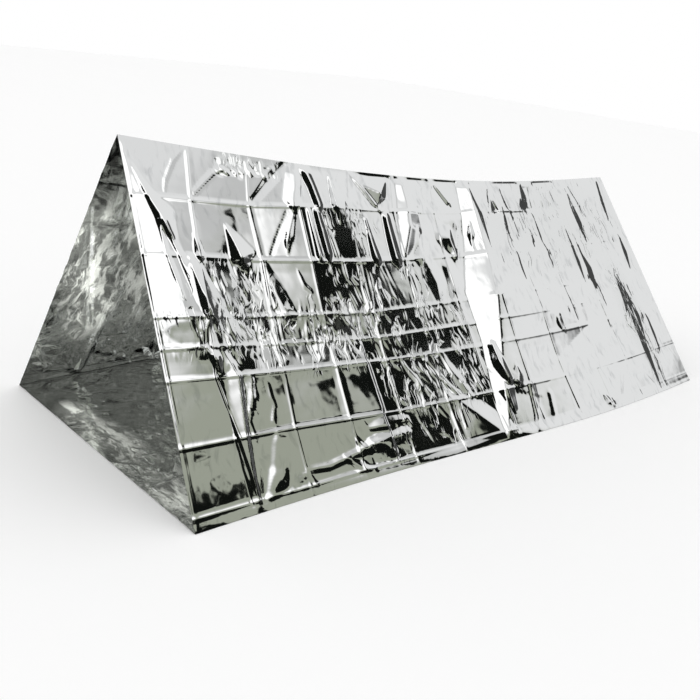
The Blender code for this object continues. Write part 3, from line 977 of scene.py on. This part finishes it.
# Scale, share of the cells that lean, and how steeply
LARGE_FLAKES = (42.0, 0.32, 0.09)
SMALL_FLAKES = (85.0, 0.30, 0.09)
# Rubs and the painted glow's patches: scale, detail and at times roughness of the clouds, and
# from where to where in them the effect sets in
RUBS = (48.0, 4.0)
RUBS_FROM = (0.50, 0.74)
GLOW_MOTTLE = (26.0, 5.0, 0.65)
GLOW_PATCHES_FROM = (0.46, 0.60)


def crackle_group():
    """Height of the fine crackle in metres, and masks of haze, the painted glow's patches and rubs."""
    group = bpy.data.node_groups.new("film_crackle", "ShaderNodeTree")
    for name, kind, way in (
        ("Place", "NodeSocketVector", "INPUT"),
        ("Crushed", "NodeSocketFloat", "INPUT"),
        ("Height", "NodeSocketFloat", "OUTPUT"),
        ("Haze", "NodeSocketFloat", "OUTPUT"),
        ("Glow patches", "NodeSocketFloat", "OUTPUT"),
        ("Rubs", "NodeSocketFloat", "OUTPUT"),
    ):
        group.interface.new_socket(name=name, in_out=way, socket_type=kind)
    given = group.nodes.new("NodeGroupInput")
    wanted = group.nodes.new("NodeGroupOutput")
    noise = clouds(group, given.outputs["Place"], *SWIRL)
    swirl = vector_math(group, "SUBTRACT", noise.outputs["Color"], (0.5, 0.5, 0.5))
    swirl = vector_math(group, "SCALE", swirl, scale=SWIRL_PUSH)
    place = vector_math(group, "ADD", given.outputs["Place"], swirl)
    place = vector_math(group, "MULTIPLY", place, STRETCH)
    large = flakes(group, place, *LARGE_FLAKES)
    small = flakes(group, place, *SMALL_FLAKES)
    both = math_node(group, "ADD", large, small)
    both = math_node(group, "MULTIPLY", both, given.outputs["Crushed"])
    patchy = ramp_between(group, noise.outputs[0], *CRACKLE_FROM)
    both = math_node(group, "MULTIPLY", both, patchy)
    both = math_node(group, "MULTIPLY_ADD", noise.outputs[0], SWIRL_LIFT, both)
    group.links.new(both, wanted.inputs["Height"])
    haze = math_node(group, "MULTIPLY", given.outputs["Crushed"], 1.0, clamp=True)
    group.links.new(haze, wanted.inputs["Haze"])
    rubbed = ramp_between(group, clouds(group, place, *RUBS).outputs[0], *RUBS_FROM)
    rubbed = math_node(group, "MULTIPLY", rubbed, ramp_between(group, noise.outputs[0], *RUBS_NEAR))
    group.links.new(rubbed, wanted.inputs["Rubs"])
    # Patches of the painted glow: bright spots of emission on the inner face
    glow_patches = ramp_between(group, clouds(group, place, *GLOW_MOTTLE).outputs[0], *GLOW_PATCHES_FROM)
    group.links.new(glow_patches, wanted.inputs["Glow patches"])
    return group


CRACKLE = crackle_group()
print("crackle group:", len(CRACKLE.nodes), "nodes")

# %% Film material
FILM_SILVER = (0.91, 0.915, 0.91, 1.0)
FILM_HAZED = (0.84, 0.85, 0.84, 1.0)
FILM_RUBBED = (0.74, 0.75, 0.75, 1.0)
# Colour of the glow painted on the inner face, standing in for daylight through the film
PAINTED_GLOW_COLOUR = (0.80, 0.82, 0.76, 1.0)
NO_LIGHT = (0.0, 0.0, 0.0, 1.0)
# Roughness of the clean mirror and of hazed film
FILM_ROUGH = (0.025, 0.08)
# Of the painted glow, so much shows in patches and so much everywhere
PAINTED_GLOW_PATCHY = 0.85
PAINTED_GLOW_EVEN = 0.15


def film_material():
    material = bpy.data.materials.new("silver_film")
    material.use_nodes = True
    tree = material.node_tree
    shader = tree.nodes["Principled BSDF"]
    shader.inputs["Metallic"].default_value = 1.0
    chart = tree.nodes.new("ShaderNodeUVMap")
    chart.uv_map = "film_map"
    crushed = tree.nodes.new("ShaderNodeAttribute")
    crushed.attribute_name = "crushed"
    crackle = tree.nodes.new("ShaderNodeGroup")
    crackle.node_tree = CRACKLE
    tree.links.new(chart.outputs["UV"], crackle.inputs["Place"])
    tree.links.new(crushed.outputs["Fac"], crackle.inputs["Crushed"])
    colour = mix_colours(tree, crackle.outputs["Haze"], FILM_SILVER, FILM_HAZED)
    colour = mix_colours(tree, crackle.outputs["Rubs"], colour, FILM_RUBBED)
    tree.links.new(colour, shader.inputs["Base Color"])
    rough = tree.nodes.new("ShaderNodeMapRange")
    rough.inputs["To Min"].default_value = FILM_ROUGH[0]
    rough.inputs["To Max"].default_value = FILM_ROUGH[1]
    tree.links.new(crackle.outputs["Haze"], rough.inputs["Value"])
    tree.links.new(rough.outputs["Result"], shader.inputs["Roughness"])
    # The inner face gets a painted glow: an emission in place of daylight through the film and light
    # bounced in
    inside = tree.nodes.new("ShaderNodeNewGeometry").outputs["Backfacing"]
    painted_glow = tree.nodes.new("ShaderNodeAttribute")
    painted_glow.attribute_name = "painted_glow"
    inside = math_node(tree, "MULTIPLY", inside, painted_glow.outputs["Fac"])
    glow_patches = crackle.outputs["Glow patches"]
    patchy = math_node(tree, "MULTIPLY_ADD", glow_patches, PAINTED_GLOW_PATCHY, PAINTED_GLOW_EVEN)
    inside = math_node(tree, "MULTIPLY", inside, patchy)
    glow = mix_colours(tree, inside, NO_LIGHT, PAINTED_GLOW_COLOUR)
    tree.links.new(glow, shader.inputs["Emission Color"])
    shader.inputs["Emission Strength"].default_value = 1.0
    bump = tree.nodes.new("ShaderNodeBump")
    bump.inputs["Strength"].default_value = 1.0
    bump.inputs["Distance"].default_value = 1.0
    tree.links.new(crackle.outputs["Height"], bump.inputs["Height"])
    tree.links.new(bump.outputs["Normal"], shader.inputs["Normal"])
    return material


FILM = film_material()
print("material:", FILM.name)

# %% [markdown]
# ## The sheets together
# The three sheets are one film: a tube 3.05 m round and 2.44 m long. Each is listed with its
# own share of the way round, as it would lie if the tube were cut along its folds.

WIDTHS = ((right, WALL_DROP), (left, WALL_DROP), (floor, GIRTH - 2 * WALL_DROP))
for piece, width in WIDTHS:
    piece.data.materials.append(FILM)
    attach(piece, "root")
    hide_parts("film_tube")
print("sheets of film:", [piece.name for piece, width in WIDTHS])
